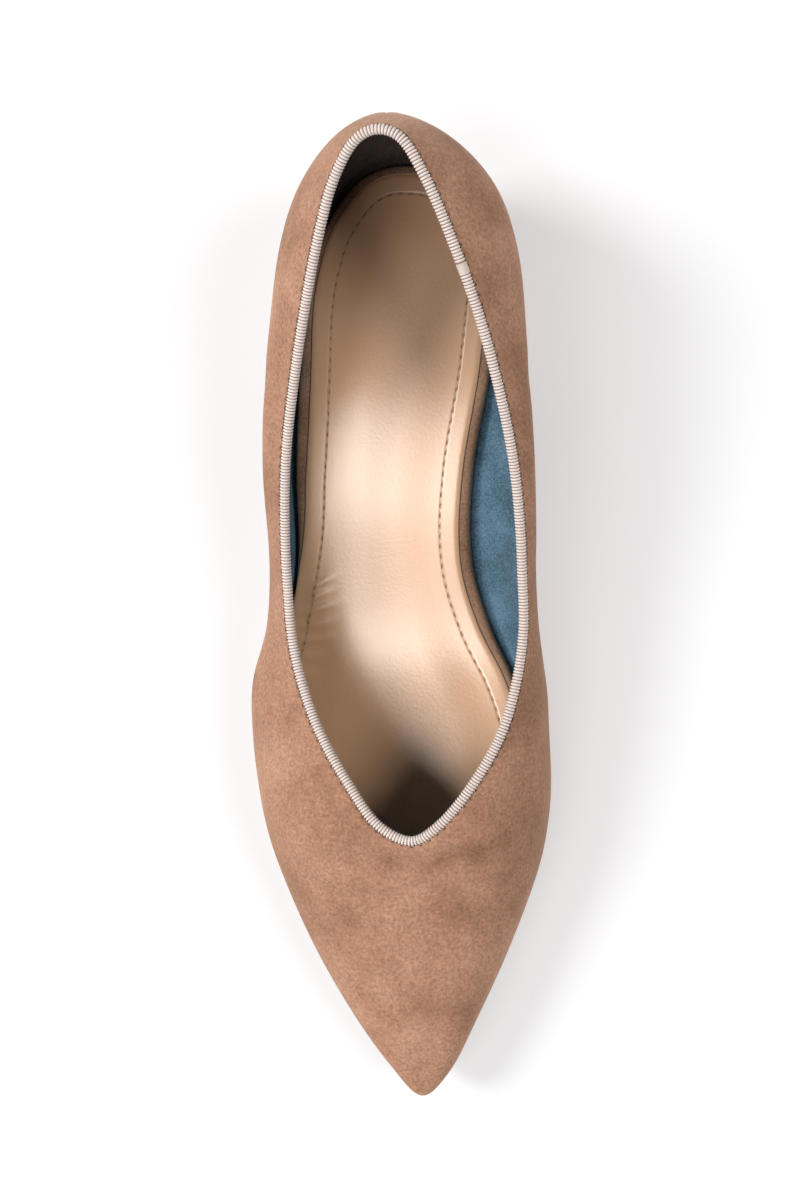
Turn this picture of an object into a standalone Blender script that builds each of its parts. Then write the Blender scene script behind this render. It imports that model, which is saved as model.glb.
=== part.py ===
"""Pointed court shoe for the right foot, on a low block heel.

Sizes are in millimetres and become metres in the meshes. A station is the distance forward from the
back of the heel. The lateral (outer) side of the foot is at -X and the medial (inner) side at +X. The toe
points to -Y, and the shoe stands on Z = 0.
"""

import math
from collections import namedtuple

import bmesh
import bpy
import numpy as np

MM = 0.001

# Driving sizes
LENGTH = 261.0
WALL = 1.8
GAP = 0.3
BREAST_LATERAL = 58.0
BREAST_MEDIAL = 62.0
OUTSOLE_EDGE = 2.2
OUTSOLE_WELT = 0.4
OUTSOLE_CROWN = 0.6
OUTSOLE_CROWN_WIDTH = 40.0
OUTSOLE_FLAT_SHARE = 0.5
HEEL_TAPER = 0.8
HEEL_TAPER_BREAST = 0.4
TOP_PIECE_THICKNESS = 4.8
TOP_PIECE_BEVEL = 0.6
PIPING_RADIUS = 1.25
INSOLE_TOE_STATION = 247.0

# Facets
FACET_LENGTH = 5.0
FACETS_BELOW_WIDEST = 4
FACETS_ABOVE_WIDEST = 7
OUTLINE_SAMPLES = 24
OUTSOLE_ROWS = 42
OUTSOLE_COLUMNS = 8
INSOLE_ROWS = 44
INSOLE_COLUMNS = 6
HEEL_FACETS = 22
HEEL_LEVELS = 4
PIPING_SIDES = 8

# The widest outline of the last: x of each side, how far the feather edge tucks in under it, and how high
# it lies above that edge. The first and last rows are the back of the heel and the tip of the toe.
LAST_COLUMNS = "station x_lateral x_medial tuck_lateral tuck_medial rise_lateral rise_medial"
LastRow = namedtuple("LastRow", LAST_COLUMNS)
LAST = [
    LastRow(0.0, 2.6, 2.6, 3.4, 3.4, 24.0, 24.0),
    LastRow(5.0, -10.4, 17.2, 1.8, 1.8, 24.0, 24.0),
    LastRow(17.0, -21.0, 29.2, 1.9, 2.2, 23.5, 23.5),
    LastRow(33.0, -27.2, 35.0, 2.2, 3.8, 22.0, 23.0),
    LastRow(57.0, -31.0, 37.4, 2.2, 7.5, 20.0, 22.0),
    LastRow(87.0, -33.6, 39.2, 2.4, 15.0, 19.0, 23.0),
    LastRow(113.0, -33.8, 39.4, 2.6, 16.0, 17.0, 24.0),
    LastRow(130.0, -37.0, 39.7, 2.4, 12.0, 13.0, 20.0),
    LastRow(145.0, -41.3, 40.7, 2.4, 7.0, 11.0, 16.0),
    LastRow(162.0, -41.9, 41.7, 2.2, 3.6, 10.0, 12.5),
    LastRow(176.0, -40.4, 42.0, 2.0, 2.4, 9.0, 10.0),
    LastRow(187.0, -38.2, 40.9, 1.9, 2.2, 8.5, 9.2),
    LastRow(197.0, -35.0, 38.8, 1.8, 2.0, 8.0, 8.5),
    LastRow(219.0, -24.8, 30.8, 1.6, 1.6, 7.0, 7.0),
    LastRow(240.0, -11.9, 21.3, 1.4, 1.4, 6.0, 6.0),
    LastRow(253.5, -1.4, 14.4, 1.3, 1.3, 5.4, 5.4),
    LastRow(261.0, 6.7, 6.7, 1.2, 1.2, 5.0, 5.0),
]

# The top edge of the upper, row for row with the last: the collar as far as the throat, then the ridge of
# the vamp, where both sides meet. Crown is 0 where the wall ends at the collar and 1 where it rolls over
# the ridge.
TopRow = namedtuple("TopRow", "station x_lateral x_medial z_lateral z_medial crown")
TOP_EDGE = [
    TopRow(10.2, 4.0, 4.0, 79.2, 79.2, 0.0),
    TopRow(12.4, -2.1, 10.1, 78.6, 78.7, 0.0),
    TopRow(21.0, -8.5, 15.7, 75.2, 76.2, 0.0),
    TopRow(35.0, -13.8, 21.7, 69.8, 71.0, 0.0),
    TopRow(57.0, -20.0, 29.1, 60.8, 62.0, 0.0),
    TopRow(87.0, -26.2, 35.4, 49.6, 51.4, 0.0),
    TopRow(113.0, -27.8, 37.2, 41.8, 43.4, 0.05),
    TopRow(130.0, -27.3, 37.2, 38.6, 40.2, 0.1),
    TopRow(144.0, -24.8, 35.7, 38.4, 39.8, 0.2),
    TopRow(159.5, -18.8, 31.4, 40.4, 41.8, 0.4),
    TopRow(174.0, -9.8, 22.9, 42.6, 43.4, 0.65),
    TopRow(183.4, -2.6, 14.8, 43.4, 43.6, 0.85),
    TopRow(187.9, 7.2, 7.2, 42.8, 42.8, 1.0),
    TopRow(213.5, 7.2, 7.2, 34.2, 34.2, 1.0),
    TopRow(233.0, 7.0, 7.0, 28.4, 28.4, 1.0),
    TopRow(244.5, 6.9, 6.9, 24.4, 24.4, 1.0),
    TopRow(251.0, 6.8, 6.8, 21.6, 21.6, 1.0),
]
THROAT_ROW = 12

# Height of the feather edge, where the upper meets the sole: heel seat, shank, ball and toe spring.
FeatherRow = namedtuple("FeatherRow", "station height")
FEATHER = [
    FeatherRow(0.0, 24.8),
    FeatherRow(62.0, 23.06),
    FeatherRow(64.0, 23.0),
    FeatherRow(77.0, 20.9),
    FeatherRow(97.0, 16.3),
    FeatherRow(115.0, 10.3),
    FeatherRow(131.0, 5.3),
    FeatherRow(144.0, 3.1),
    FeatherRow(169.0, 3.1),
    FeatherRow(187.0, 4.3),
    FeatherRow(207.0, 6.8),
    FeatherRow(232.0, 9.9),
    FeatherRow(247.0, 11.4),
    FeatherRow(261.0, 12.6),
]

# The insole: its thickness, and how far its side slopes inward from the foot to the top on each side.
InsoleRow = namedtuple("InsoleRow", "station thickness slope_lateral slope_medial")
INSOLE = [
    InsoleRow(0.0, 4.6, 1.4, 1.4),
    InsoleRow(18.0, 4.6, 1.2, 1.8),
    InsoleRow(40.0, 4.6, 2.2, 3.8),
    InsoleRow(64.0, 4.6, 3.6, 5.0),
    InsoleRow(97.0, 4.6, 3.0, 5.2),
    InsoleRow(120.0, 4.6, 0.8, 4.4),
    InsoleRow(137.0, 4.4, 0.6, 3.8),
    InsoleRow(180.0, 3.6, 0.6, 1.6),
    InsoleRow(220.0, 2.4, 0.6, 0.8),
    InsoleRow(261.0, 1.4, 0.6, 0.6),
]


def hermite(start, end, leave, arrive, f):
    return (
        (2 * f**3 - 3 * f**2 + 1) * start
        + (f**3 - 2 * f**2 + f) * leave
        + (3 * f**2 - 2 * f**3) * end
        + (f**3 - f**2) * arrive
    )


def hermite_slope(start, end, leave, arrive, f):
    return (
        (6 * f**2 - 6 * f) * (start - end)
        + (3 * f**2 - 4 * f + 1) * leave
        + (3 * f**2 - 2 * f) * arrive
    )


class Curve:
    """A smooth curve through points, read by the number of a span and the fraction along it."""

    def __init__(self, points, closed=False):
        self.points = np.asarray(points, float)
        ahead = np.roll(self.points, -1, axis=0) if closed else self.points[1:]
        here = self.points if closed else self.points[:-1]
        self.widths = np.sqrt(np.linalg.norm((ahead - here)[:, :2], axis=1))
        slopes = (ahead - here) / self.widths[:, None]
        count = len(self.points)
        self.tangents = np.empty_like(self.points)
        for i in range(count):
            if not closed and i in (0, count - 1):
                self.tangents[i] = slopes[0 if i == 0 else -1]
                continue
            before, after = self.widths[i - 1], self.widths[i]
            self.tangents[i] = (after * slopes[i - 1] + before * slopes[i]) / (before + after)

    def ends(self, span):
        after = (span + 1) % len(self.points)
        leave, arrive = self.tangents[[span, after]] * self.widths[span]
        return self.points[span], self.points[after], leave, arrive

    def at(self, span, fraction):
        return hermite(*self.ends(span), fraction)

    def direction(self, span, fraction):
        return hermite_slope(*self.ends(span), fraction)


def read_profile(rows, column, station):
    """A column's value at a station, smooth between a table's rows and level where neighbours are equal."""
    stations = np.array([row.station for row in rows])
    values = np.array([getattr(row, column) for row in rows])
    steps = np.diff(values) / np.diff(stations)
    slopes = np.zeros(len(rows))
    slopes[0], slopes[-1] = steps[0], steps[-1]
    for i in range(1, len(rows) - 1):
        if steps[i - 1] * steps[i] > 0:
            slopes[i] = 2 * steps[i - 1] * steps[i] / (steps[i - 1] + steps[i])
    i = int(np.clip(np.searchsorted(stations, station) - 1, 0, len(rows) - 2))
    width = stations[i + 1] - stations[i]
    fraction = (station - stations[i]) / width
    return hermite(values[i], values[i + 1], slopes[i] * width, slopes[i + 1] * width, fraction)


def feather_height(y):
    return read_profile(FEATHER, "height", LENGTH / 2 - y)


def insole_height(y):
    return feather_height(y) + read_profile(INSOLE, "thickness", LENGTH / 2 - y)


def y_at(station):
    return LENGTH / 2 - station


def unit(vector):
    return vector / np.linalg.norm(vector)


def last_outline():
    """The widest outline with its tuck and rise, from the heel along the lateral side and back."""
    lateral = [(r.x_lateral, y_at(r.station), r.tuck_lateral, r.rise_lateral) for r in LAST]
    medial = [(r.x_medial, y_at(r.station), r.tuck_medial, r.rise_medial) for r in LAST]
    return Curve(lateral + medial[-2:0:-1], closed=True)


def collar_line():
    """The collar from the throat along the medial side, round the heel and along the lateral side."""
    rows = TOP_EDGE[: THROAT_ROW + 1]
    lateral = [(r.x_lateral, y_at(r.station), r.z_lateral, r.crown) for r in rows]
    medial = [(r.x_medial, y_at(r.station), r.z_medial, r.crown) for r in rows]
    return Curve(medial[:0:-1] + lateral[:-1], closed=True)


def vamp_ridge():
    return Curve([(r.x_lateral, y_at(r.station), r.z_lateral, r.crown) for r in TOP_EDGE[THROAT_ROW:]])


OUTLINE = last_outline()
COLLAR = collar_line()
RIDGE = vamp_ridge()
LAST_SPANS = len(LAST) - 1
Spot = namedtuple("Spot", "widest outward feather top crown ridge_slope")


def spot_on_last(lateral, span, fraction):
    """The points that shape the wall at one place along a side of the last."""
    loop_span = span if lateral else 2 * LAST_SPANS - 1 - span
    loop_fraction = fraction if lateral else 1 - fraction
    x, y, tuck, rise = OUTLINE.at(loop_span, loop_fraction)
    along = unit(OUTLINE.direction(loop_span, loop_fraction)[:2])
    outward = np.array([along[1], -along[0], 0.0])
    feather = np.array([x, y, 0.0]) - outward * tuck
    feather[2] = feather_height(feather[1])
    widest = np.array([x, y, feather[2] + rise])
    if span < THROAT_ROW:
        collar_span = THROAT_ROW + span if lateral else THROAT_ROW - 1 - span
        top = COLLAR.at(collar_span, loop_fraction)
        ridge_slope = 0.0
    else:
        top = RIDGE.at(span - THROAT_ROW, fraction)
        run = RIDGE.direction(span - THROAT_ROW, fraction)
        ridge_slope = run[2] / run[1]
    return Spot(widest, outward, feather, top[:3], top[3], ridge_slope)


def wall_section(lateral, span, fraction):
    """Points up the outside of the upper, from the feather edge over the widest line to the top edge."""
    spot = spot_on_last(lateral, span, fraction)
    climb = spot.top - spot.feather
    upward = unit(climb - np.dot(climb, spot.outward) * spot.outward)
    lower = spot.widest - spot.feather
    lower_rise = upward * np.dot(lower, upward)
    points = [
        hermite(spot.feather, spot.widest, 2 * lower - lower_rise, lower_rise, i / FACETS_BELOW_WIDEST)
        for i in range(FACETS_BELOW_WIDEST)
    ]
    over = spot.top - spot.widest
    upper_rise = upward * np.dot(over, upward)
    quarter_ellipse = math.pi / 2
    across = np.array([over[0], over[1], over[1] * spot.ridge_slope])
    leave = upper_rise * (1 + (quarter_ellipse - 1) * spot.crown)
    arrive = (1 - spot.crown) * (2 * over - upper_rise) + spot.crown * quarter_ellipse * across
    for i in range(FACETS_ABOVE_WIDEST + 1):
        points.append(hermite(spot.widest, spot.top, leave, arrive, i / FACETS_ABOVE_WIDEST))
    return points


def places_along():
    """Every (span, fraction) from the heel to the toe, about one facet length apart."""
    places = []
    for span in range(LAST_SPANS):
        here, there = LAST[span], LAST[span + 1]
        forward = there.station - here.station
        sideways = max(abs(there.x_lateral - here.x_lateral), abs(there.x_medial - here.x_medial))
        pieces = max(2, math.ceil(math.hypot(forward, sideways) / FACET_LENGTH))
        places += [(span, i / pieces) for i in range(pieces)]
    return places + [(LAST_SPANS - 1, 1.0)]


def feather_line(lateral, inset):
    """The feather edge of one side, moved inward by one inset or by one for each sample, heel to toe."""
    places = [(span, i / OUTLINE_SAMPLES) for span in range(LAST_SPANS) for i in range(OUTLINE_SAMPLES)]
    places.append((LAST_SPANS - 1, 1.0))
    spots = [spot_on_last(lateral, span, fraction) for span, fraction in places]
    feather = np.array([spot.feather for spot in spots])
    outward = np.array([spot.outward for spot in spots])
    return feather - outward * np.reshape(inset, (-1, 1))


def between_stations(line, start, end, count):
    """Evenly spaced points along a feather line from one station to another."""
    stations = LENGTH / 2 - line[:, 1]
    start = max(start, stations[0])
    end = min(end, stations[-1])
    inside = line[(stations > start) & (stations < end)]
    first, last = ([np.interp(s, stations, line[:, axis]) for axis in range(3)] for s in (start, end))
    path = np.vstack([first, inside, last])
    run = np.concatenate([[0.0], np.cumsum(np.linalg.norm(np.diff(path[:, :2], axis=0), axis=1))])
    at = np.linspace(0.0, run[-1], count)
    return np.column_stack([np.interp(at, run, path[:, axis]) for axis in range(3)])


def rungs_between(insets, lateral_start, medial_start, end, count, columns):
    """Points across the foot from the lateral to the medial feather line, row by row along it."""
    lateral = between_stations(feather_line(True, insets[0]), lateral_start, end, count)
    medial = between_stations(feather_line(False, insets[1]), medial_start, end, count)
    shares = np.linspace(0.0, 1.0, columns + 1)[None, :, None]
    return lateral[:, None] * (1 - shares) + medial[:, None] * shares


def heel_loop(inset, breast_back, height):
    """The outline of the heel at one level, from the lateral corner of the breast round the back."""
    lateral = between_stations(feather_line(True, inset), 0.0, BREAST_LATERAL - breast_back, HEEL_FACETS)
    medial = between_stations(feather_line(False, inset), 0.0, BREAST_MEDIAL - breast_back, HEEL_FACETS)
    loop = np.vstack([lateral[::-1], medial[1:]])
    loop[:, 2] = height
    return loop


def piping_rings():
    """Rings of points round the piping, from one side of the throat round the heel to the other side."""
    places = [place for place in places_along() if place[0] < THROAT_ROW]
    lateral = [wall_section(True, *place) for place in places]
    medial = [wall_section(False, *place) for place in places]
    columns = medial[:0:-1] + lateral + [wall_section(True, THROAT_ROW, 0.0)]
    count = len(columns)
    rings = []
    for i, column in enumerate(columns):
        here, below = column[-1], column[-2]
        to_next = unit(columns[(i + 1) % count][-1] - here)
        from_last = unit(here - columns[i - 1][-1])
        along = unit(to_next + from_last)
        mitre = 1.0 / math.cos(0.5 * math.acos(np.dot(to_next, from_last)))
        at_throat = i == count - 1
        climb = to_next - from_last if at_throat else here - below
        away = unit(climb - np.dot(climb, along) * along)
        outward = unit(np.cross(along, away))
        centre = here - outward * WALL / 2 + away * (PIPING_RADIUS + GAP) * mitre
        ring = []
        for k in range(PIPING_SIDES):
            angle = 2 * math.pi * (k + 0.5) / PIPING_SIDES
            arm = math.cos(angle) * outward + math.sin(angle) * mitre * away
            ring.append(centre + PIPING_RADIUS * arm)
        rings.append(ring)
    return rings


def add_sheet(shape, columns):
    """Quads between neighbouring columns of points."""
    grid = [[shape.verts.new(point) for point in column] for column in columns]
    for here, there in zip(grid, grid[1:]):
        for low in range(len(here) - 1):
            shape.faces.new((here[low], there[low], there[low + 1], here[low + 1]))


def add_rings(shape, rings, closed):
    """Quads between neighbouring rings of points, with flat ends unless the last ring meets the first."""
    grid = [[shape.verts.new(point) for point in ring] for ring in rings]
    pairs = list(zip(grid, grid[1:]))
    if closed:
        pairs.append((grid[-1], grid[0]))
    else:
        shape.faces.new(grid[0])
        shape.faces.new(grid[-1])
    for here, there in pairs:
        for i in range(len(here)):
            after = (i + 1) % len(here)
            shape.faces.new((here[i], here[after], there[after], there[i]))


def add_slab(shape, top, bottom):
    """A solid between two grids of points, closed along their four edges."""
    add_sheet(shape, top)
    add_sheet(shape, bottom)
    for edge in (np.s_[:, 0], np.s_[:, -1], np.s_[0, :], np.s_[-1, :]):
        add_sheet(shape, np.stack([top[edge], bottom[edge]], axis=1))


def upper_shape(shape):
    for lateral in (True, False):
        add_sheet(shape, [wall_section(lateral, *place) for place in places_along()])


def piping_shape(shape):
    add_rings(shape, piping_rings(), closed=True)


def insole_slopes(lateral, column):
    """How far the insole's side slopes inward, sample for sample along the feather edge."""
    stations = LENGTH / 2 - feather_line(lateral, 0.0)[:, 1]
    return np.array([read_profile(INSOLE, column, station) for station in stations])


def insole_shape(shape):
    side = WALL + GAP
    run = (0.0, 0.0, INSOLE_TOE_STATION, INSOLE_ROWS, INSOLE_COLUMNS)
    slopes = (insole_slopes(True, "slope_lateral"), insole_slopes(False, "slope_medial"))
    bottom = rungs_between((side, side), *run)
    top = rungs_between([side + slope for slope in slopes], *run)
    bottom[:, :, 2] = [[feather_height(point[1]) for point in row] for row in bottom]
    top[:, :, 2] = [[insole_height(point[1]) for point in row] for row in top]
    add_slab(shape, top, bottom)


def outsole_shape(shape):
    starts = (BREAST_LATERAL + GAP, BREAST_MEDIAL + GAP)
    welt = (-OUTSOLE_WELT, -OUTSOLE_WELT)
    top = rungs_between(welt, *starts, LENGTH, OUTSOLE_ROWS, OUTSOLE_COLUMNS)
    top[:, :, 2] = [[feather_height(point[1]) - GAP for point in row] for row in top]
    across = np.linspace(-1.0, 1.0, OUTSOLE_COLUMNS + 1)
    crown = OUTSOLE_CROWN * np.minimum(1.0, (1.0 - across**2) / (1.0 - OUTSOLE_FLAT_SHARE**2))
    widths = top[:, -1, 0] - top[:, 0, 0]
    fullness = np.minimum(1.0, widths / OUTSOLE_CROWN_WIDTH)
    bottom = top.copy()
    bottom[:, :, 2] -= OUTSOLE_EDGE + fullness[:, None] * crown[None, :]
    add_slab(shape, top, bottom)


def heel_shape(shape):
    seat = heel_loop(0.0, 0.0, 0.0)
    seat_heights = np.array([feather_height(y) - GAP for y in seat[:, 1]])
    foot = TOP_PIECE_THICKNESS + GAP
    rings = []
    for level in range(HEEL_LEVELS + 1):
        share = level / HEEL_LEVELS
        heights = seat_heights * (1 - share) + foot * share
        rings.append(heel_loop(HEEL_TAPER * share, HEEL_TAPER_BREAST * share, heights))
    add_rings(shape, rings, closed=False)


def top_piece_shape(shape):
    bevel = TOP_PIECE_BEVEL
    rings = [
        heel_loop(HEEL_TAPER, HEEL_TAPER_BREAST, TOP_PIECE_THICKNESS),
        heel_loop(HEEL_TAPER, HEEL_TAPER_BREAST, bevel),
        heel_loop(HEEL_TAPER + bevel, HEEL_TAPER_BREAST + bevel, 0.0),
    ]
    add_rings(shape, rings, closed=False)


def make_material(name, color, roughness):
    material = bpy.data.materials.new(name)
    material.use_nodes = True
    shader = material.node_tree.nodes["Principled BSDF"]
    shader.inputs["Base Color"].default_value = (*color, 1.0)
    shader.inputs["Roughness"].default_value = roughness
    shader.inputs["Metallic"].default_value = 0.0
    return material


def make_piece(name, fill_shape, material):
    """One closed piece in metres from a function that fills a shape in millimetres."""
    shape = bmesh.new()
    fill_shape(shape)
    bmesh.ops.remove_doubles(shape, verts=shape.verts, dist=0.001)
    bmesh.ops.recalc_face_normals(shape, faces=shape.faces)
    bmesh.ops.scale(shape, vec=(MM, MM, MM), verts=shape.verts)
    mesh = bpy.data.meshes.new(name)
    shape.to_mesh(mesh)
    shape.free()
    mesh.shade_smooth()
    mesh.materials.append(material)
    piece = bpy.data.objects.new(name, mesh)
    bpy.context.scene.collection.objects.link(piece)
    return piece


def thicken_wall(upper):
    wall = upper.modifiers.new("wall", "SOLIDIFY")
    wall.thickness = WALL * MM
    wall.offset = -1.0


def clear_scene():
    for obj in list(bpy.data.objects):
        bpy.data.objects.remove(obj, do_unlink=True)


def main():
    clear_scene()
    upper = make_piece("upper", upper_shape, make_material("suede_upper", (0.42, 0.26, 0.17), 0.9))
    thicken_wall(upper)
    make_piece("topline_piping", piping_shape, make_material("ribbed_tape", (0.78, 0.66, 0.58), 0.8))
    make_piece("insole", insole_shape, make_material("leatherette_sock", (0.66, 0.5, 0.36), 0.4))
    make_piece("outsole", outsole_shape, make_material("brown_sole_rubber", (0.19, 0.1, 0.06), 0.5))
    make_piece("heel_block", heel_shape, make_material("suede_heel_cover", (0.42, 0.26, 0.17), 0.9))
    make_piece("top_piece", top_piece_shape, make_material("brown_top_piece", (0.3, 0.16, 0.1), 0.4))


main()
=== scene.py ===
# Pointed court shoe, right foot: suede, ribbed piping, padded sock and low block heel
import math

import bmesh
import bpy
import numpy as np
from mathutils import Matrix, Vector
from mathutils.bvhtree import BVHTree
from mathutils.kdtree import KDTree


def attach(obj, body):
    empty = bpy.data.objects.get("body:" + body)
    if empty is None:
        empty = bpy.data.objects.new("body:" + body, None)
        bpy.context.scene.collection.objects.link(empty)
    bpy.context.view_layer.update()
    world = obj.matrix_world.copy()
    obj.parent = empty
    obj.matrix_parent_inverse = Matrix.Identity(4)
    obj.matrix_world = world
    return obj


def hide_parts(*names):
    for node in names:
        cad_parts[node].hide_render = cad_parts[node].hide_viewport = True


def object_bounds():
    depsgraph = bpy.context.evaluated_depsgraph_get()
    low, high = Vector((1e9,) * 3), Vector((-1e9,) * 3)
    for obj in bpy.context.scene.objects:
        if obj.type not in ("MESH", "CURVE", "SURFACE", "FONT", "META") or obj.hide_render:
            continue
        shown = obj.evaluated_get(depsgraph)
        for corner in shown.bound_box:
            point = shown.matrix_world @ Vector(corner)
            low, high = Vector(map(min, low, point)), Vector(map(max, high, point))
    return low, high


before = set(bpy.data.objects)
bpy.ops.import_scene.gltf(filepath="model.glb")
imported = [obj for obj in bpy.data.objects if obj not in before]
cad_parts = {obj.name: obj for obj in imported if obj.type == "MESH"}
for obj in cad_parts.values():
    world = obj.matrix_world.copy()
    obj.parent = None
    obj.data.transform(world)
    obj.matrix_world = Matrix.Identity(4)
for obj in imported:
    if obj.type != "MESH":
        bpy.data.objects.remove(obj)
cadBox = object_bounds()
mm = 0.001
heelBack = cadBox[1].y  # stations run forward from here, in mm
scene = bpy.context.scene
print("frame loaded:", ", ".join(sorted(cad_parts)))


# places and colours

def onShoe(x, station, z):
    return Vector((x * mm, heelBack - station * mm, z * mm))


def perMetre(sizeMm):
    # a texture scale that gives marks of about this size
    return 1.0 / (sizeMm * mm)


def linear(hexColour):
    parts = [int(hexColour[i:i + 2], 16) / 255 for i in (1, 3, 5)]
    return (*[c / 12.92 if c <= 0.04045 else ((c + 0.055) / 1.055) ** 2.4 for c in parts], 1.0)


def addNode(tree, kind, inputs=None, **settings):
    # inputs hold sockets to link or plain values, by name or number
    node = tree.nodes.new(kind)
    for name, value in settings.items():
        setattr(node, name, value)
    for key, value in (inputs or {}).items():
        if isinstance(value, bpy.types.NodeSocket):
            tree.links.new(value, node.inputs[key])
        else:
            node.inputs[key].default_value = value
    return node


def limits(word, pair):
    # a pair of numbers as the ends of a node's range
    return {f"{word} Min": pair[0], f"{word} Max": pair[1]}


def newMaterial(name, roughness, **sockets):
    # sockets are set by name; the piece's own coordinates come back for its pattern
    material = bpy.data.materials.new(name)
    material.use_nodes = True
    tree = material.node_tree
    shader = tree.nodes["Principled BSDF"]
    shader.inputs["Roughness"].default_value = roughness
    for key, value in sockets.items():
        shader.inputs[key.replace("_", " ")].default_value = value
    return material, tree, shader, addNode(tree, "ShaderNodeTexCoord").outputs["Object"]


def paint(tree, shader, colour, bump=None):
    # a material's last links: its colour and, where it has one, its fine relief
    tree.links.new(colour.outputs[2], shader.inputs["Base Color"])
    if bump:
        tree.links.new(bump.outputs["Normal"], shader.inputs["Normal"])


# materials; sizes and depths in mm

suedeLook = {
    "napDark": "#8f6850",
    "napMid": "#a87d64",
    "napLight": "#b98e75",
    "sheen": "#e8cdb8",
    "patchSize": 24.0,
    "strokeSize": 6.0,
    "strokeShare": 0.5,
    "strokeStretch": (1.0, 0.5, 0.8),
    "napRange": (0.42, 1.04),
    "midTone": 0.45,
    "grainSize": 0.9,
    "grainDepth": 0.2,
    "grainRange": (0.3, 0.7),
    "grainTones": (0.68, 1.32),
}


def suedeMaterial(name, look):
    # microfibre suede, sanded: dead matt, pale where it turns away, darker where the nap lies the other way
    material, tree, shader, place = newMaterial(
        name, 0.95, Sheen_Weight=0.35, Sheen_Roughness=0.45, Sheen_Tint=linear(look["sheen"]),
        Specular_IOR_Level=0.2,
    )
    patches = addNode(tree, "ShaderNodeTexNoise", {
        "Vector": place, "Scale": perMetre(look["patchSize"]),
        "Detail": 3.0, "Roughness": 0.55, "Distortion": 0.7,
    })
    brushed = addNode(tree, "ShaderNodeMapping", {"Vector": place, "Scale": look["strokeStretch"]})
    strokes = addNode(tree, "ShaderNodeTexNoise", {
        "Vector": brushed.outputs["Vector"], "Scale": perMetre(look["strokeSize"]),
        "Detail": 4.0, "Roughness": 0.6,
    })
    # drawn coarser than the real fibre, so that it shows
    grain = addNode(tree, "ShaderNodeTexNoise", {
        "Vector": place, "Scale": perMetre(look["grainSize"]), "Detail": 3.0, "Roughness": 0.7,
    })
    nap = addNode(tree, "ShaderNodeMath", {
        0: strokes.outputs["Fac"], 1: look["strokeShare"], 2: patches.outputs["Fac"],
    }, operation="MULTIPLY_ADD")
    # the marks darken the nap; along the medial side they are painted shade
    marks = addNode(tree, "ShaderNodeAttribute", attribute_name="napAndPaintedShade").outputs["Fac"]
    marked = addNode(tree, "ShaderNodeMath", {0: nap.outputs["Value"], 1: marks}, operation="SUBTRACT")
    napTone = addNode(tree, "ShaderNodeMapRange", {
        "Value": marked.outputs["Value"], **limits("From", look["napRange"]),
    })
    tone = addNode(tree, "ShaderNodeValToRGB", {"Fac": napTone.outputs["Result"]})
    ramp = tone.color_ramp
    ramp.elements[0].color = linear(look["napDark"])
    ramp.elements[1].color = linear(look["napLight"])
    ramp.elements.new(look["midTone"]).color = linear(look["napMid"])
    grainTone = addNode(tree, "ShaderNodeMapRange", {
        "Value": grain.outputs["Fac"],
        **limits("From", look["grainRange"]), **limits("To", look["grainTones"]),
    })
    colour = addNode(tree, "ShaderNodeMix", {
        0: 1.0, 6: tone.outputs["Color"], 7: grainTone.outputs["Result"],
    }, data_type="RGBA", blend_type="MULTIPLY")
    bump = addNode(tree, "ShaderNodeBump", {
        "Strength": 0.6, "Distance": look["grainDepth"] * mm, "Height": grain.outputs["Fac"],
    })
    paint(tree, shader, colour, bump)
    return material


microsuedeLook = {
    # the suede's back and rims, darkened as painted shade for a dark line at the feather edge and in the gaps
    "backingAndPaintedShade": ("#241b16", "#3b2e26"),
    "blue": ("#36505f", "#67879c"),
    "greyBrown": ("#4f4440", "#7c6e67"),
    "brown": ("#84614a", "#b38c70"),
    "speckleSize": 0.6,
    "speckleDepth": 0.12,
    "cloudSize": 12.0,
    "cloudShare": 0.5,
    "toneRange": (0.58, 0.92),
}


def microsuedeMaterial(name, look, tones):
    # knitted microsuede, raised on the face: soft speckle, coarser than the real fibre, and a little sheen
    material, tree, shader, place = newMaterial(
        name, 0.9, Sheen_Weight=0.15, Sheen_Roughness=0.5, Specular_IOR_Level=0.25,
    )
    dark, light = (linear(tone) for tone in look[tones])
    speckle = addNode(tree, "ShaderNodeTexNoise", {
        "Vector": place, "Scale": perMetre(look["speckleSize"]), "Detail": 3.0, "Roughness": 0.75,
    })
    clouds = addNode(tree, "ShaderNodeTexNoise", {
        "Vector": place, "Scale": perMetre(look["cloudSize"]), "Detail": 2.0,
    })
    mottle = addNode(tree, "ShaderNodeMath", {
        0: clouds.outputs["Fac"], 1: look["cloudShare"], 2: speckle.outputs["Fac"],
    }, operation="MULTIPLY_ADD")
    tone = addNode(tree, "ShaderNodeMapRange", {
        "Value": mottle.outputs["Value"], **limits("From", look["toneRange"]),
    })
    colour = addNode(tree, "ShaderNodeMix", {
        0: tone.outputs["Result"], 6: dark, 7: light,
    }, data_type="RGBA")
    bump = addNode(tree, "ShaderNodeBump", {
        "Strength": 0.5, "Distance": look["speckleDepth"] * mm, "Height": speckle.outputs["Fac"],
    })
    paint(tree, shader, colour, bump)
    return material


sockLook = {
    "colour": "#fac295",
    "deeper": "#efb585",
    "gloss": "#fff4ea",
    "cutEdge": "#6a4730",
    "edgeWidth": 0.16,
    "cloudSize": 22.0,
    "poreSize": 0.8,
    "poreDepth": 0.06,
    "grooveWidth": 0.7,
    "grooveDepth": 0.15,
    "groovePaintedShade": 0.8,
}


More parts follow.
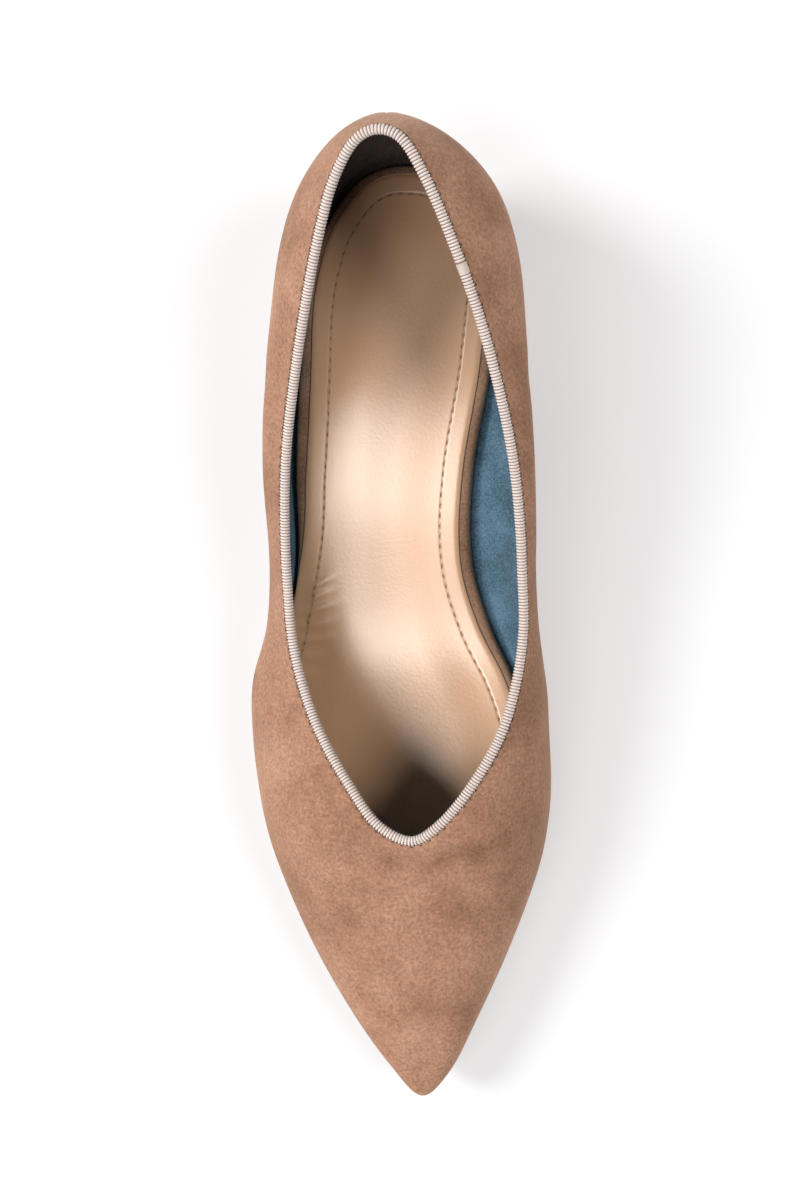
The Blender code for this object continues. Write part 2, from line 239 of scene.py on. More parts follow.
def sockMaterial(look, stitchInset):
    # PU leatherette over foam: satin, a darker cut edge and a pressed groove under the stitches, with painted
    # shade in the groove
    material, tree, shader, place = newMaterial(
        "leatheretteSock", 0.34, IOR=2.0, Specular_IOR_Level=1.0, Specular_Tint=linear(look["gloss"]),
        Coat_Weight=0.4, Coat_Roughness=0.34,
    )
    inset = addNode(tree, "ShaderNodeAttribute", attribute_name="edgeDistance").outputs["Fac"]
    clouds = addNode(tree, "ShaderNodeTexNoise", {
        "Vector": place, "Scale": perMetre(look["cloudSize"]), "Detail": 3.0,
    })
    # pores coarser than the real grain, so that they show
    pores = addNode(tree, "ShaderNodeTexVoronoi", {"Vector": place, "Scale": perMetre(look["poreSize"])})
    ground = addNode(tree, "ShaderNodeMix", {
        0: clouds.outputs["Fac"], 6: linear(look["deeper"]), 7: linear(look["colour"]),
    }, data_type="RGBA")
    edge = addNode(tree, "ShaderNodeMapRange", {
        "Value": inset, "From Min": look["edgeWidth"], "From Max": 2 * look["edgeWidth"],
    }, interpolation_type="SMOOTHSTEP")
    withEdge = addNode(tree, "ShaderNodeMix", {
        0: edge.outputs["Result"], 6: linear(look["cutEdge"]), 7: ground.outputs[2],
    }, data_type="RGBA")
    fromStitch = addNode(tree, "ShaderNodeMath", {0: inset, 1: stitchInset}, operation="SUBTRACT")
    besides = addNode(tree, "ShaderNodeMath", {0: fromStitch.outputs["Value"]}, operation="ABSOLUTE")
    groove = addNode(tree, "ShaderNodeMapRange", {
        "Value": besides.outputs["Value"], "From Min": 0.0, "From Max": look["grooveWidth"],
    }, interpolation_type="SMOOTHSTEP")
    # painted shade in the groove under the stitches
    shade = addNode(tree, "ShaderNodeMapRange", {
        "Value": groove.outputs["Result"], "To Min": look["groovePaintedShade"], "To Max": 1.0,
    })
    colour = addNode(tree, "ShaderNodeMix", {
        0: 1.0, 6: withEdge.outputs[2], 7: shade.outputs["Result"],
    }, data_type="RGBA", blend_type="MULTIPLY")
    poreBump = addNode(tree, "ShaderNodeBump", {
        "Strength": 0.35, "Distance": look["poreDepth"] * mm, "Height": pores.outputs["Distance"],
    })
    grooveBump = addNode(tree, "ShaderNodeBump", {
        "Strength": 0.5, "Distance": look["grooveDepth"] * mm, "Height": groove.outputs["Result"],
        "Normal": poreBump.outputs["Normal"],
    })
    paint(tree, shader, colour, grooveBump)
    return material


tapeLook = {
    "rib": ("#dbccc3", "#f1e9e4"),
    # the ground between the ribs: its warp threads, darkened with painted shade
    "ground": ("#8e6a5a", "#ac8877"),
    "end": ("#c9b8a8", "#dfd2c5"),
    "yarnSize": 0.35,
    "yarnDetail": 2.0,
    "roughness": 0.7,
    "sheen": 0.1,
}
threadLook = {
    "darkBrown": ("#35231a", "#54392a"),
    "tan": ("#c4966c", "#e4ba93"),
    # dark slits beside the sock's stitches: painted shade
    "paintedHoleShade": ("#5b402d", "#7a583e"),
    "navy": ("#1d2c38", "#34495a"),
    "yarnSize": 0.4,
    "yarnDetail": 1.0,
    "roughness": 0.55,
    "sheen": 0.0,
}


def yarnMaterial(name, look, tones):
    # woven viscose tape, matt, and twisted polyester thread, a little glossier: both show a lighter yarn
    material, tree, shader, place = newMaterial(name, look["roughness"], Sheen_Weight=look["sheen"])
    dark, light = (linear(tone) for tone in look[tones])
    yarns = addNode(tree, "ShaderNodeTexNoise", {
        "Vector": place, "Scale": perMetre(look["yarnSize"]), "Detail": look["yarnDetail"],
    })
    colour = addNode(tree, "ShaderNodeMix", {
        0: yarns.outputs["Fac"], 6: dark, 7: light,
    }, data_type="RGBA")
    paint(tree, shader, colour)
    return material


rubberLook = {
    "brown": ("#6b4028", "#85553a"),
    "tan": ("#8e5f43", "#a87555"),
    "cloudSize": 9.0,
    "grainSize": 0.5,
    "grainDepth": 0.04,
}


def rubberMaterial(name, look, tones, roughness, coat):
    # moulded rubber with a painted edge: even colour, fine mould grain, soft gloss
    material, tree, shader, place = newMaterial(name, roughness, Coat_Weight=coat, Coat_Roughness=0.3)
    dark, light = (linear(tone) for tone in look[tones])
    clouds = addNode(tree, "ShaderNodeTexNoise", {
        "Vector": place, "Scale": perMetre(look["cloudSize"]), "Detail": 4.0,
    })
    grain = addNode(tree, "ShaderNodeTexNoise", {
        "Vector": place, "Scale": perMetre(look["grainSize"]), "Detail": 2.0,
    })
    colour = addNode(tree, "ShaderNodeMix", {
        0: clouds.outputs["Fac"], 6: dark, 7: light,
    }, data_type="RGBA")
    bump = addNode(tree, "ShaderNodeBump", {
        "Strength": 0.4, "Distance": look["grainDepth"] * mm, "Height": grain.outputs["Fac"],
    })
    paint(tree, shader, colour, bump)
    return material


# meshes from the frame

meshCut = {"nodeWeld": 0.02, "gridWeld": 0.005, "quadAngle": 60.0}  # mm, mm and degrees


def mergedQuads(nodeName):
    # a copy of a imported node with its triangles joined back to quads
    shape = bmesh.new()
    shape.from_mesh(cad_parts[nodeName].data)
    bmesh.ops.remove_doubles(shape, verts=shape.verts, dist=meshCut["nodeWeld"] * mm)
    bmesh.ops.join_triangles(
        shape, faces=shape.faces, angle_face_threshold=math.radians(meshCut["quadAngle"]),
        angle_shape_threshold=math.pi, topology_influence=2.0,
    )
    return shape


def faceRegions(shape, sharpDegrees):
    # groups of faces that no sharp edge parts, largest first
    sharp = math.radians(sharpDegrees)
    seen = set()
    regions = []
    for start in shape.faces:
        if start in seen:
            continue
        seen.add(start)
        region = []
        front = [start]
        while front:
            face = front.pop()
            region.append(face)
            smooth = [e for e in face.edges if len(e.link_faces) == 2 and e.calc_face_angle() < sharp]
            for other in (f for e in smooth for f in e.link_faces if f not in seen):
                seen.add(other)
                front.append(other)
        regions.append(region)
    return sorted(regions, key=lambda region: -sum(face.calc_area() for face in region))


def keepFaces(shape, kept):
    kept = set(kept)
    bmesh.ops.delete(shape, geom=[face for face in shape.faces if face not in kept], context="FACES")


def boundaryLoops(shape):
    # rows of vertices round each open edge, highest loop first
    ahead = {}
    for edge in shape.edges:
        if edge.is_boundary:
            first, second = edge.verts
            ahead.setdefault(first, []).append(second)
            ahead.setdefault(second, []).append(first)
    loops = []
    while ahead:
        loop = [next(iter(ahead))]
        while True:
            nearby = [v for v in ahead.pop(loop[-1]) if v in ahead]
            if not nearby:
                break
            loop.append(nearby[0])
        loops.append(loop)
    return sorted(loops, key=lambda loop: -sum(v.co.z for v in loop) / len(loop))


def newPiece(name, mesh, *materials):
    piece = bpy.data.objects.new(name, mesh)
    scene.collection.objects.link(piece)
    for material in materials:
        mesh.materials.append(material)
    return piece


def shapeToMesh(name, shape):
    mesh = bpy.data.meshes.new(name)
    shape.to_mesh(mesh)
    shape.free()
    return mesh


def applied(piece, *modifiers):
    # each modifier is a kind and its settings; the result stays as a plain mesh
    for kind, settings in modifiers:
        modifier = piece.modifiers.new(kind.lower(), kind)
        for key, value in settings.items():
            setattr(modifier, key, value)
    return baked(piece)


def baked(piece):
    graph = bpy.context.evaluated_depsgraph_get()
    mesh = bpy.data.meshes.new_from_object(piece.evaluated_get(graph))
    piece.modifiers.clear()
    piece.data = mesh
    mesh.shade_smooth()
    return piece


def subdivided(levels):
    return "SUBSURF", {"levels": levels, "render_levels": levels}


def points(mesh):
    found = np.empty(len(mesh.vertices) * 3)
    mesh.vertices.foreach_get("co", found)
    return found.reshape(-1, 3)


def normals(mesh):
    found = np.empty(len(mesh.vertices) * 3)
    mesh.vertex_normals.foreach_get("vector", found)
    return found.reshape(-1, 3)


def movePoints(mesh, moved):
    mesh.vertices.foreach_set("co", np.asarray(moved, np.float32).ravel())
    mesh.update()


def surfaceTree(mesh):
    return BVHTree.FromPolygons([v.co for v in mesh.vertices], [p.vertices for p in mesh.polygons])


def finishPiece(piece, replaced=()):
    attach(piece, "root")
    if replaced:
        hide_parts(*replaced)
    print(f"{piece.name}: {len(piece.data.polygons)} faces")


# upper: the outer face of the imported wall, smoothed and creased at listed places; sizes in mm, angles in
# degrees

upperCut = {
    "sharpEdge": 45.0,
    "smoothLevels": 2,
    "suedeThickness": 0.9,
    "seamLow": (2.6, 0.0, 25.0),
    "seamHigh": (4.0, 0.0, 79.0),
    "seamX": 3.3,
    "seamReach": 1.6,
    "seamFromStation": 16.0,
    "seamColumn": 1.4,
    "grooveDepth": 0.2,
    "grooveWidth": 0.4,
    "shoulderHeight": 0.06,
    "shoulderPlace": 2.2,
    "shoulderWidth": 1.1,
}

# folds pressed into the wall, and darker marks: in the nap, and painted shade along the medial side;
# each a soft stroke between two places: a (station, height) seen from a side or a (station, x) seen from the
# top
strokeColumns = ("seenFrom", "start", "end", "strength", "width")
folds = [
    ("lateral", (121.0, 35.0), (139.0, 15.0), 0.55, 6.0),
    ("lateral", (134.0, 33.0), (152.0, 14.0), -0.35, 6.5),
    ("lateral", (66.0, 52.0), (69.0, 30.0), 0.35, 5.0),
    ("lateral", (40.0, 58.0), (52.0, 36.0), 0.25, 9.0),
    ("medial", (117.0, 37.0), (137.0, 18.0), 0.5, 6.5),
    ("medial", (131.0, 35.0), (150.0, 17.0), -0.3, 6.5),
    ("medial", (64.0, 53.0), (70.0, 31.0), 0.35, 5.0),
    ("top", (199.0, -7.0), (200.0, 22.0), 0.35, 5.0),
    ("top", (183.0, -22.0), (193.0, -6.0), 0.3, 5.5),
    ("top", (180.0, 31.0), (192.0, 19.0), 0.3, 5.5),
    ("top", (212.0, -12.0), (209.0, 3.0), 0.22, 7.0),
    ("top", (221.0, 9.0), (216.0, 20.0), 0.2, 6.0),
]
napMarksAndPaintedShade = [
    ("top", (192.5, 1.0), (192.0, 13.0), 0.26, 3.4),
    ("top", (191.0, 15.0), (189.0, 22.0), 0.16, 3.0),
    ("top", (190.0, 25.0), (186.0, 31.0), 0.2, 3.6),
    ("top", (206.0, 17.0), (208.0, 23.0), 0.2, 4.5),
    ("top", (204.0, -14.0), (212.0, -9.0), 0.12, 4.0),
    ("top", (222.0, 2.0), (232.0, 4.0), 0.1, 4.0),
    # painted shade along the medial edge of the vamp, partly a mark in the nap
    ("top", (152.0, 37.0), (184.0, 37.0), 0.2, 6.0),
    ("lateral", (146.0, 22.0), (150.0, 12.0), 0.2, 4.0),
    ("lateral", (156.0, 26.0), (166.0, 20.0), 0.14, 4.5),
    ("lateral", (92.0, 40.0), (108.0, 30.0), 0.14, 6.0),
    ("lateral", (30.0, 62.0), (38.0, 40.0), 0.12, 6.0),
    ("medial", (70.0, 50.0), (84.0, 30.0), 0.12, 7.0),
    ("medial", (24.0, 66.0), (30.0, 44.0), 0.14, 5.0),
    ("medial", (108.0, 36.0), (126.0, 26.0), 0.14, 6.0),
    # these three: a broad band of painted shade down the medial side
    ("medial", (18.0, 54.0), (60.0, 46.0), 0.17, 15.0),
    ("medial", (60.0, 44.0), (150.0, 26.0), 0.17, 14.0),
    ("medial", (150.0, 24.0), (190.0, 18.0), 0.17, 12.0),
]


def surfaceSpot(tree, seenFrom, spot):
    far = 300.0  # mm, well clear of the shoe
    station, across = spot
    origin, direction = {
        "lateral": (onShoe(-far, station, across), Vector((1, 0, 0))),
        "medial": (onShoe(far, station, across), Vector((-1, 0, 0))),
        "top": (onShoe(across, station, far), Vector((0, 0, -1))),
    }[seenFrom]
    return np.array(tree.ray_cast(origin, direction)[0])


def strokeStrengths(mesh, strokes):
    # at each vertex, the sum of the strokes, each fading over its width
    tree = surfaceTree(mesh)
    places = points(mesh)
    total = np.zeros(len(places))
    for row in strokes:
        stroke = dict(zip(strokeColumns, row))
        start, end = (surfaceSpot(tree, stroke["seenFrom"], stroke[key]) for key in ("start", "end"))
        run = end - start
        share = np.clip((places - start) @ run / (run @ run), 0.0, 1.0)
        away = np.linalg.norm(places - start - share[:, None] * run, axis=1)
        total += stroke["strength"] * np.exp(-(away / (stroke["width"] * mm)) ** 2)
    return total


def pressFolds(mesh):
    push = strokeStrengths(mesh, folds) * mm
    movePoints(mesh, points(mesh) - push[:, None] * normals(mesh))


def markNapAndPaintedShade(mesh):
    # the nap marks and the painted shade along the medial side, kept on the vertices
    shade = mesh.attributes.new("napAndPaintedShade", "FLOAT", "POINT")
    shade.data.foreach_set("value", strokeStrengths(mesh, napMarksAndPaintedShade).astype(np.float32))


def pressBackSeam(mesh):
    # a narrow groove down the back of the heel between two soft shoulders
    places = points(mesh)
    low, high = onShoe(*upperCut["seamLow"]), onShoe(*upperCut["seamHigh"])
    lean = (high.x - low.x) / (high.z - low.z)
    aside = np.abs(places[:, 0] - low.x - lean * (places[:, 2] - low.z))
    behind = places[:, 1] > heelBack - upperCut["seamFromStation"] * mm
    groove = np.exp(-(aside / (upperCut["grooveWidth"] * mm)) ** 2)
    shoulder = np.exp(-((aside - upperCut["shoulderPlace"] * mm) / (upperCut["shoulderWidth"] * mm)) ** 2)
    push = upperCut["shoulderHeight"] * shoulder - upperCut["grooveDepth"] * groove
    movePoints(mesh, places + (push * behind * mm)[:, None] * normals(mesh))


def edgeRows(mesh):
    # points round the collar, with the outward normal and the way down the wall, square to the edge
    shape = bmesh.new()
    shape.from_mesh(mesh)
    loop = boundaryLoops(shape)[0]
    rows = []
    for i, vert in enumerate(loop):
        along = loop[(i + 1) % len(loop)].co - loop[i - 1].co
        inner = [e.other_vert(vert).co for e in vert.link_edges if not e.is_boundary]
        inward = sum((place - vert.co for place in inner), Vector())
        down = along.cross(vert.normal).normalized()
        rows.append((vert.co.copy(), vert.normal.copy(), down if down.dot(inward) > 0 else -down))
    shape.free()
    return rows


def outerSheet():
    # the sheet, and the rows round its collar from before the seam is pressed
    shape = mergedQuads("upper")
    keepFaces(shape, faceRegions(shape, upperCut["sharpEdge"])[0])
    seamX, reach = upperCut["seamX"] * mm, upperCut["seamReach"] * mm
    behind = heelBack - upperCut["seamFromStation"] * mm
    onSeam = {v for v in shape.verts if v.co.y > behind and abs(v.co.x - seamX) < reach}
    seam = [e for e in shape.edges if set(e.verts) <= onSeam]
    bmesh.ops.bevel(
        shape, geom=seam, offset=upperCut["seamColumn"] * mm, segments=2, profile=0.5, affect="EDGES",
    )
    sheet = newPiece("upperSheet", shapeToMesh("upperSheet", shape))
    applied(sheet, subdivided(upperCut["smoothLevels"]))
    markNapAndPaintedShade(sheet.data)
    pressFolds(sheet.data)
    rows = edgeRows(sheet.data)
    pressBackSeam(sheet.data)
    return sheet, rows


sheet, collar = outerSheet()
suede = suedeMaterial("sandedSuede", suedeLook)
# the suede's back and rims: painted shade, a dark line where they show at the feather edge and beside the
# lining
suedeBack = microsuedeMaterial("suedeBackingAndShade", microsuedeLook, "backingAndPaintedShade")
upper = newPiece("suedeUpper", sheet.data.copy(), suede, suedeBack)
applied(upper, ("SOLIDIFY", {
    "thickness": upperCut["suedeThickness"] * mm, "offset": -1.0,
    "material_offset": 1, "material_offset_rim": 1,
}))
finishPiece(upper, ["upper"])


# lining: blue microsuede in front, grey-brown grip round the heel

liningCut = {
    "inset": 0.95,
    "thickness": 0.8,
    "gripThickness": 0.45,
    "seamStation": 37.0,
    "overlap": 3.0,
    "stitchFromEdge": 2.2,
    "lastingMargin": 3.0,
}


def movedInward(inset):
    # the upper's sheet moved towards the foot, as a shape to cut
    mesh = sheet.data.copy()
    movePoints(mesh, points(mesh) - inset * mm * normals(mesh))
    shape = bmesh.new()
    shape.from_mesh(mesh)
    return shape


def cutAcross(shape, station, **cleared):
    every = [*shape.verts, *shape.edges, *shape.faces]
    return bmesh.ops.bisect_plane(
        shape, geom=every, plane_co=onShoe(0.0, station, 0.0), plane_no=(0, 1, 0), **cleared,
    )


def turnUnder(shape, margin):
    # the lasting margin: the lower edge is carried inward under the footbed
    loop = boundaryLoops(shape)[-1]
    first = next(e for e in loop[0].link_edges if e.other_vert(loop[0]) is loop[1])
    if first.link_loops[0].vert is loop[0]:
        loop.reverse()
    inward = [Vector((-v.normal.x, -v.normal.y, 0.0)).normalized() for v in loop]
    inner = [shape.verts.new(v.co + way * margin) for v, way in zip(loop, inward)]
    for i in range(len(loop)):
        shape.faces.new((loop[i - 1], loop[i], inner[i], inner[i - 1]))


def liningSheet(name, thickness, keepAhead, station, material):
    # a part of the lining, cut at a station and given its own thickness
    shape = movedInward(liningCut["inset"])
    turnUnder(shape, liningCut["lastingMargin"] * mm)
    cutAcross(shape, station, clear_outer=keepAhead, clear_inner=not keepAhead)
    piece = newPiece(name, shapeToMesh(name, shape), material)
    return applied(piece, ("SOLIDIFY", {"thickness": thickness * mm, "offset": -1.0}))


blue = microsuedeMaterial("blueMicrosuede", microsuedeLook, "blue")
gripFabric = microsuedeMaterial("greyBrownMicrosuede", microsuedeLook, "greyBrown")
liningBack = liningCut["seamStation"]
gripFront = liningBack + liningCut["overlap"]
finishPiece(liningSheet("blueLining", liningCut["thickness"], True, liningBack, blue))
finishPiece(liningSheet("heelGrip", liningCut["gripThickness"], False, gripFront, gripFabric))


# stitches and ribs: trees that place small shapes along a path

def pathObject(name, rows, closed):
    # a line of vertices, each with the direction that a stitch rises in
    mesh = bpy.data.meshes.new(name)
    count = len(rows)
    edges = [(i, (i + 1) % count) for i in range(count if closed else count - 1)]
    mesh.from_pydata([tuple(place) for place, _ in rows], edges, [])
    rise = mesh.attributes.new("rise", "FLOAT_VECTOR", "POINT")
    rise.data.foreach_set("vector", np.array([tuple(up) for _, up in rows], np.float32).ravel())
    return newPiece(name, mesh)


def newTree(name, sizes, materialName):
    tree = bpy.data.node_groups.new(name, "GeometryNodeTree")
    kinds = {"Path": "Geometry", **sizes, "Jitter": "Float", "Seed": "Int", materialName: "Material"}
    for key, kind in kinds.items():
        tree.interface.new_socket(key, in_out="INPUT", socket_type="NodeSocket" + kind)
    tree.interface.new_socket("Geometry", in_out="OUTPUT", socket_type="NodeSocketGeometry")
    return tree, addNode(tree, "NodeGroupInput").outputs


def endTree(tree, given, axes, shape, material, extra=None):
    # the shape at each step of the path, turned a little either way, made real and given its material
    line = addNode(tree, "GeometryNodeMeshToCurve", {"Mesh": given["Path"]})
    steps = addNode(tree, "GeometryNodeResampleCurve", {
        "Curve": line.outputs["Curve"], "Length": given["Pitch"],
    }, mode="LENGTH")
    tangent = addNode(tree, "GeometryNodeInputTangent").outputs["Tangent"]
    rise = addNode(tree, "GeometryNodeInputNamedAttribute", {"Name": "rise"}, data_type="FLOAT_VECTOR")
    facing = addNode(tree, "FunctionNodeAxesToRotation", {
        "Primary Axis": tangent, "Secondary Axis": rise.outputs["Attribute"],
    }, **axes)
    wobble = addNode(tree, "FunctionNodeRandomValue", {
        2: -1.0, 3: 1.0, "Seed": given["Seed"],
    }, data_type="FLOAT")
    turn = addNode(tree, "ShaderNodeMath", {
        0: wobble.outputs[1], 1: given["Jitter"],
    }, operation="MULTIPLY")
    angles = addNode(tree, "ShaderNodeCombineXYZ", {"Z": turn.outputs["Value"]})
    aside = addNode(tree, "FunctionNodeEulerToRotation", {"Euler": angles.outputs["Vector"]})
    turned = addNode(tree, "FunctionNodeRotateRotation", {
        "Rotation": facing.outputs["Rotation"], "Rotate By": aside.outputs["Rotation"],
    }, rotation_space="LOCAL")
    placed = addNode(tree, "GeometryNodeInstanceOnPoints", {
        "Points": steps.outputs["Curve"], "Instance": shape.outputs["Mesh"],
        "Rotation": turned.outputs["Rotation"], **(extra or {}),
    })
    real = addNode(tree, "GeometryNodeRealizeInstances", {"Geometry": placed.outputs["Instances"]})
    dressed = addNode(tree, "GeometryNodeSetMaterial", {
        "Geometry": real.outputs["Geometry"], "Material": given[material],
    })
    addNode(tree, "NodeGroupOutput", {"Geometry": dressed.outputs["Geometry"]})


def stitchTree():
    sizes = dict.fromkeys(("Pitch", "Length", "Height", "Thread Radius"), "Float")
    tree, given = newTree("stitchRow", sizes, "Thread")
    tuck = -1.2  # thread radii that each end goes under the surface
    sunk = addNode(tree, "ShaderNodeMath", {0: given["Thread Radius"], 1: tuck}, operation="MULTIPLY")
    ends = {}
    for end, share in (("Start", -0.5), ("End", 0.5)):
        reach = addNode(tree, "ShaderNodeMath", {0: given["Length"], 1: share}, operation="MULTIPLY")
        ends[end] = addNode(tree, "ShaderNodeCombineXYZ", {
            "X": reach.outputs["Value"], "Z": sunk.outputs["Value"],
        }).outputs["Vector"]
    middle = addNode(tree, "ShaderNodeCombineXYZ", {"Z": given["Height"]})
    arch = addNode(tree, "GeometryNodeCurveQuadraticBezier", {
        "Resolution": 5, "Middle": middle.outputs["Vector"], **ends,
    })
    ring = addNode(tree, "GeometryNodeCurvePrimitiveCircle", {
        "Resolution": 6, "Radius": given["Thread Radius"],
    })
    thread = addNode(tree, "GeometryNodeCurveToMesh", {
        "Curve": arch.outputs["Curve"], "Profile Curve": ring.outputs["Curve"], "Fill Caps": True,
    })
    endTree(tree, given, {"primary_axis": "X", "secondary_axis": "Z"}, thread, "Thread")
    return tree


def ribTree():
    sizes = dict.fromkeys(("Pitch", "Tape Radius", "Rib Radius", "Flatness", "Joint Reach"), "Float")
    tree, given = newTree("grosgrainRibs", {**sizes, "Joint Place": "Vector"}, "Tape")
    hoop = addNode(tree, "GeometryNodeCurvePrimitiveCircle", {
        "Resolution": 14, "Radius": given["Tape Radius"],
    })
    ring = addNode(tree, "GeometryNodeCurvePrimitiveCircle", {
        "Resolution": 5, "Radius": given["Rib Radius"],
    })
    rib = addNode(tree, "GeometryNodeCurveToMesh", {
        "Curve": hoop.outputs["Curve"], "Profile Curve": ring.outputs["Curve"],
    })
    here = addNode(tree, "GeometryNodeInputPosition").outputs["Position"]
    fromJoint = addNode(tree, "ShaderNodeVectorMath", {
        0: here, 1: given["Joint Place"],
    }, operation="DISTANCE")
    ribbed = addNode(tree, "FunctionNodeCompare", {
        0: fromJoint.outputs["Value"], 1: given["Joint Reach"],
    }, data_type="FLOAT", operation="GREATER_THAN")
    oval = addNode(tree, "ShaderNodeCombineXYZ", {"X": 1.0, "Y": given["Flatness"], "Z": 1.0})
    endTree(tree, given, {"primary_axis": "Z", "secondary_axis": "X"}, rib, "Tape", {
        "Selection": ribbed.outputs["Result"], "Scale": oval.outputs["Vector"],
    })
    return tree


def grown(path, tree, sizes):
    # inputs go in by identifier before the tree is first evaluated
    modifier = path.modifiers.new(tree.name, "NODES")
    modifier.node_group = tree
    for item in tree.interface.items_tree:
        if item.in_out == "INPUT" and item.name in sizes:
            modifier[item.identifier] = sizes[item.name]
    return baked(path)


def tubeAlong(name, places, radius, closed, material):
    curve = bpy.data.curves.new(name, "CURVE")
    curve.dimensions = "3D"
    curve.bevel_depth = radius
    curve.bevel_resolution = 3
    curve.use_fill_caps = True
    spline = curve.splines.new("POLY")
    spline.points.add(len(places) - 1)
    spline.points.foreach_set("co", [c for place in places for c in (*place, 1.0)])
    spline.use_cyclic_u = closed
    drawn = bpy.data.objects.new(name, curve)
    scene.collection.objects.link(drawn)
    graph = bpy.context.evaluated_depsgraph_get()
    mesh = bpy.data.meshes.new_from_object(drawn.evaluated_get(graph))
    bpy.data.objects.remove(drawn)
    mesh.materials.clear()
    mesh.shade_smooth()
    return newPiece(name, mesh, material)


# piping: a grosgrain tape rolled over the top edge

pipingCut = {
    "tapeRadius": 1.1,
    "ribRadius": 0.31,
    "ribPitch": 0.82,
    "flatness": 0.94,
    "wobble": 0.05,
    "seed": 11,
    "aboveEdge": 1.0,
    "intoWall": 0.9,
    "jointAt": (25.5, 41.0, 66.0),
    "jointReach": 1.3,
    "jointRadius": 1.36,
}

pipingPath = [
    (place - normal * pipingCut["intoWall"] * mm - down * pipingCut["aboveEdge"] * mm, -down)
    for place, normal, down in collar
]
jointSpot = onShoe(*pipingCut["jointAt"])
jointAt = min(range(len(pipingPath)), key=lambda i: (pipingPath[i][0] - jointSpot).length)
jointPlace = pipingPath[jointAt][0]
# the tape under the ribs is darker: warp threads, and painted shade between the ribs
tapeGroundAndShade = yarnMaterial("grosgrainGroundAndShade", tapeLook, "ground")
tapeRib = yarnMaterial("grosgrainRib", tapeLook, "rib")
tape = tubeAlong(
    "pipingTape", [place for place, _ in pipingPath], pipingCut["tapeRadius"] * mm, True, tapeGroundAndShade
)
finishPiece(tape, ["topline_piping"])
ribs = grown(pathObject("pipingRibs", pipingPath, True), ribTree(), {
    "Pitch": pipingCut["ribPitch"] * mm,
    "Tape Radius": pipingCut["tapeRadius"] * mm,
    "Rib Radius": pipingCut["ribRadius"] * mm,
    "Flatness": pipingCut["flatness"],
    "Jitter": pipingCut["wobble"],
    "Joint Place": jointPlace,
    "Joint Reach": pipingCut["jointReach"] * mm,
    "Seed": pipingCut["seed"],
    "Tape": tapeRib,
})
finishPiece(ribs)
# where the tape's ends meet, one end is folded over the other
jointLine = [pipingPath[(jointAt + i) % len(pipingPath)][0] for i in (-1, 0, 1)]
tapeEnd = yarnMaterial("grosgrainEnd", tapeLook, "end")
finishPiece(tubeAlong("pipingJoint", jointLine, pipingCut["jointRadius"] * mm, False, tapeEnd))


# stitch rows

stitchCut = {
    "topline": {"pitch": 2.6, "length": 1.1, "height": 0.18, "radius": 0.14, "wobble": 0.12, "seed": 3},
    "sock": {"pitch": 2.9, "length": 2.4, "height": 0.26, "radius": 0.15, "wobble": 0.05, "seed": 7},
    "slot": {"pitch": 2.9, "length": 1.5, "height": 0.1, "radius": 0.13, "wobble": 0.14, "seed": 9},
    "lining": {"pitch": 2.4, "length": 1.9, "height": 0.3, "radius": 0.18, "wobble": 0.05, "seed": 5},
    "belowEdge": 0.32,
}
stitches = stitchTree()
darkThread = yarnMaterial("darkBrownThread", threadLook, "darkBrown")
tanThread = yarnMaterial("tanThread", threadLook, "tan")
slotShade = yarnMaterial("needleHolePaintedShade", threadLook, "paintedHoleShade")
blueThread = yarnMaterial("navyThread", threadLook, "navy")


def stitchPiece(name, rows, closed, cut, thread):
    piece = grown(pathObject(name, rows, closed), stitches, {
        "Pitch": cut["pitch"] * mm,
        "Length": cut["length"] * mm,
        "Height": cut["height"] * mm,
        "Thread Radius": cut["radius"] * mm,
        "Jitter": cut["wobble"],
        "Seed": cut["seed"],
        "Thread": thread,
    })
    finishPiece(piece)


toplineRows = [(place + down * stitchCut["belowEdge"] * mm, normal) for place, normal, down in collar]
stitchPiece("toplineStitches", toplineRows, True, stitchCut["topline"], darkThread)


def liningSeamRows(side):
    # where a plane across the shoe meets the lining's inner face, on one side of the foot
    shape = movedInward(liningCut["inset"] + liningCut["thickness"])
    cut = cutAcross(shape, liningCut["seamStation"] + liningCut["stitchFromEdge"])
    shape.normal_update()
    spots = [v for v in cut["geom_cut"] if isinstance(v, bmesh.types.BMVert) and v.co.x * side > 0]
    spots.sort(key=lambda v: v.co.z)
    rows = [(v.co.copy(), -v.normal) for v in spots]
    shape.free()
    return rows


for side, name in ((-1, "liningStitchesLateral"), (1, "liningStitchesMedial")):
    stitchPiece(name, liningSeamRows(side), False, stitchCut["lining"], blueThread)


# footbed: brown microsuede round the side, a padded leatherette sock on top

footbedCut = {
    "smoothWithin": 14.0,
    "mostlyLevel": 0.5,
    "toeFlat": 0.1,
    "lineStops": 1500,
    "rungs": 300,
    "columns": 12,
    "evenReach": 8.0,
}

# section of the padded side, as shares of the way from the sock's edge to the footbed's foot
rollColumns = ("out", "down")
roll = [
    (-0.2, 0.08), (0.0, 0.0), (0.36, 0.01), (0.58, 0.07), (0.7, 0.2), (0.74, 0.42), (0.72, 0.74), (0.66, 1.0),
]

